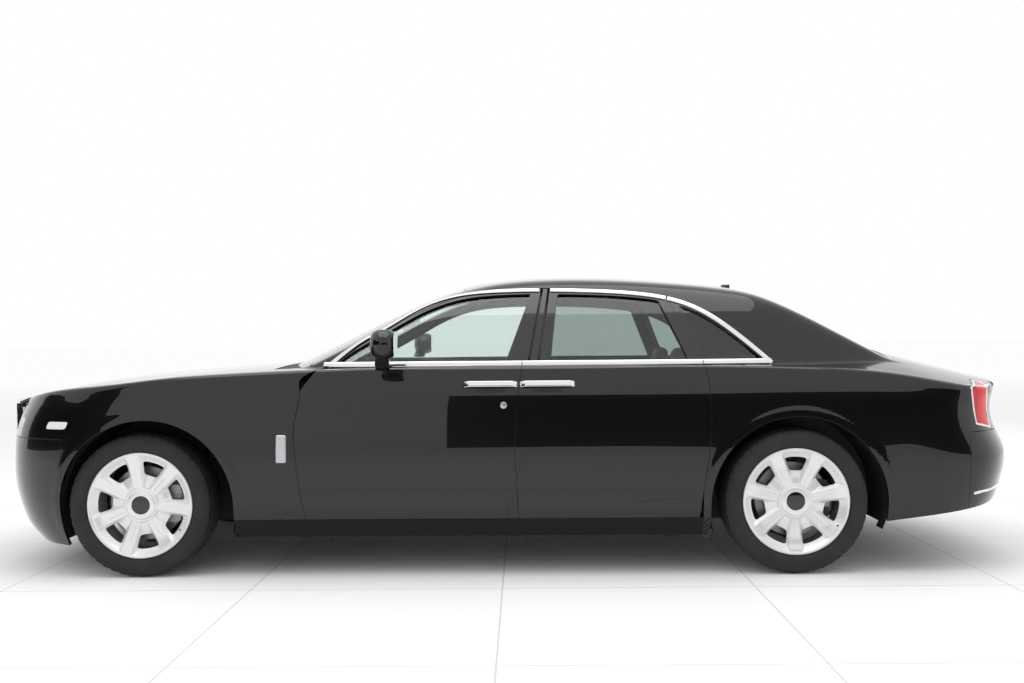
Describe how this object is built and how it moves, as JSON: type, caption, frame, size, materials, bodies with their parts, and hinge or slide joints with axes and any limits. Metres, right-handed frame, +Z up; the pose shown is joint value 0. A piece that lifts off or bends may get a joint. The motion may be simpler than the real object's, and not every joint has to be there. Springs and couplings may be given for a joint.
{
  "type": "luxury sedan",
  "caption": "Full-size luxury sedan with an upright grille, opening doors, bonnet and boot lid, steered front wheels and rolling road wheels.",
  "frame": {"origin": "on the ground under the middle of the car, at the centre of its bounding box", "axes": "+X towards the tail, -Y the left side, +Z up; the nose points along -X"},
  "size_m": [5.4071, 2.3, 1.5359],
  "materials": {
    "paint": "gloss black paint with clear coat",
    "trim": "fine grained black plastic",
    "chrome": "polished",
    "glass": "clear with a green tint",
    "lamp": "clear lens",
    "tail": "red lens",
    "tyre": "black rubber",
    "wheel": "light silver lacquer",
    "steel": "pressed steel, dark coating",
    "iron": "cast",
    "leather": "smooth hide",
    "dash": "dark hide and wood",
    "wheelrim": "stitched hide"
  },
  "bodies": {
    "body": {"body_side_left": "paint", "body_side_right": "paint", "boot_floor": "steel", "cowl": "trim", "dashboard": "dash", "engine": "iron", "firewall": "steel", "floor_pan": "steel", "front_bumper": "paint", "front_rails": "paint", "front_seat_left": "leather", "front_seat_right": "leather", "front_subframe": "steel", "front_wheel_housing_left": "trim", "front_wheel_housing_right": "trim", "front_wing_left": "paint", "front_wing_right": "paint", "grille": "chrome", "headlamp_left": "lamp", "headlamp_right": "lamp", "quarter_glass_left": "glass", "quarter_glass_right": "glass", "rear_bulkhead": "steel", "rear_bumper": "paint", "rear_seats": "leather", "rear_subframe": "steel", "rear_wheel_housing_left": "trim", "rear_wheel_housing_right": "trim", "rear_window": "glass", "roof_panel": "paint", "tail_lamp_left": "tail", "tail_lamp_right": "tail", "windscreen": "glass"},
    "bonnet": {"bonnet": "paint"},
    "boot_lid": {"boot_lid": "paint"},
    "steering_wheel": {"steering_wheel": "wheelrim"},
    "front_door_left": {"front_door_left": "paint", "front_door_glass_left": "glass", "door_mirror_left": "paint"},
    "rear_door_left": {"rear_door_left": "paint", "rear_door_glass_left": "glass"},
    "knuckle_left": {"knuckle_left": "iron"},
    "wheel_front_left": {"tyre_front_left": "tyre", "rim_front_left": "wheel"},
    "wheel_rear_left": {"tyre_rear_left": "tyre", "rim_rear_left": "wheel"},
    "front_door_right": {"front_door_right": "paint", "front_door_glass_right": "glass", "door_mirror_right": "paint"},
    "rear_door_right": {"rear_door_right": "paint", "rear_door_glass_right": "glass"},
    "knuckle_right": {"knuckle_right": "iron"},
    "wheel_front_right": {"tyre_front_right": "tyre", "rim_front_right": "wheel"},
    "wheel_rear_right": {"tyre_rear_right": "tyre", "rim_rear_right": "wheel"}
  },
  "joints": [
    {"name": "front_door_left_hinge", "type": "hinge", "parent": "body", "child": "front_door_left", "pos_m": [-0.993, -0.966, 0.7], "axis": [0, 0, -1], "range_deg": [0, 70]},
    {"name": "rear_door_left_hinge", "type": "hinge", "parent": "body", "child": "rear_door_left", "pos_m": [0.991, -0.966, 0.7], "axis": [0, 0, 1], "range_deg": [0, 74]},
    {"name": "front_door_right_hinge", "type": "hinge", "parent": "body", "child": "front_door_right", "pos_m": [-0.993, 0.966, 0.7], "axis": [0, 0, 1], "range_deg": [0, 70]},
    {"name": "rear_door_right_hinge", "type": "hinge", "parent": "body", "child": "rear_door_right", "pos_m": [0.991, 0.966, 0.7], "axis": [0, 0, -1], "range_deg": [0, 74]},
    {"name": "bonnet_hinge", "type": "hinge", "parent": "body", "child": "bonnet", "pos_m": [-1.185, 0, 1.064], "axis": [0, 1, 0], "range_deg": [0, 55]},
    {"name": "boot_lid_hinge", "type": "hinge", "parent": "body", "child": "boot_lid", "pos_m": [2.045, 0, 1.124], "axis": [0, -1, 0], "range_deg": [0, 75]},
    {"name": "steering_wheel_turn", "type": "hinge", "parent": "body", "child": "steering_wheel", "pos_m": [-0.56, -0.4, 0.93], "axis": [0.9135, 0, 0.4067], "range_deg": [-490, 490]},
    {"name": "steer_left", "type": "hinge", "parent": "body", "child": "knuckle_left", "pos_m": [-1.83, -0.745, 0.362], "axis": [0, 0, 1], "range_deg": [-35, 35]},
    {"name": "steer_right", "type": "hinge", "parent": "body", "child": "knuckle_right", "pos_m": [-1.83, 0.745, 0.362], "axis": [0, 0, 1], "range_deg": [-35, 35]},
    {"name": "wheel_front_left_spin", "type": "hinge", "parent": "knuckle_left", "child": "wheel_front_left", "pos_m": [-1.83, -0.811, 0.362], "axis": [0, 1, 0], "continuous": true},
    {"name": "wheel_rear_left_spin", "type": "hinge", "parent": "body", "child": "wheel_rear_left", "pos_m": [1.465, -0.83, 0.362], "axis": [0, 1, 0], "continuous": true},
    {"name": "wheel_front_right_spin", "type": "hinge", "parent": "knuckle_right", "child": "wheel_front_right", "pos_m": [-1.83, 0.811, 0.362], "axis": [0, 1, 0], "continuous": true},
    {"name": "wheel_rear_right_spin", "type": "hinge", "parent": "body", "child": "wheel_rear_right", "pos_m": [1.465, 0.83, 0.362], "axis": [0, 1, 0], "continuous": true}
  ],
  "couplings": [
    {"joint": "steer_right", "follows": "steer_left", "ratio": 1},
    {"joint": "steering_wheel_turn", "follows": "steer_left", "ratio": 14}
  ]
}
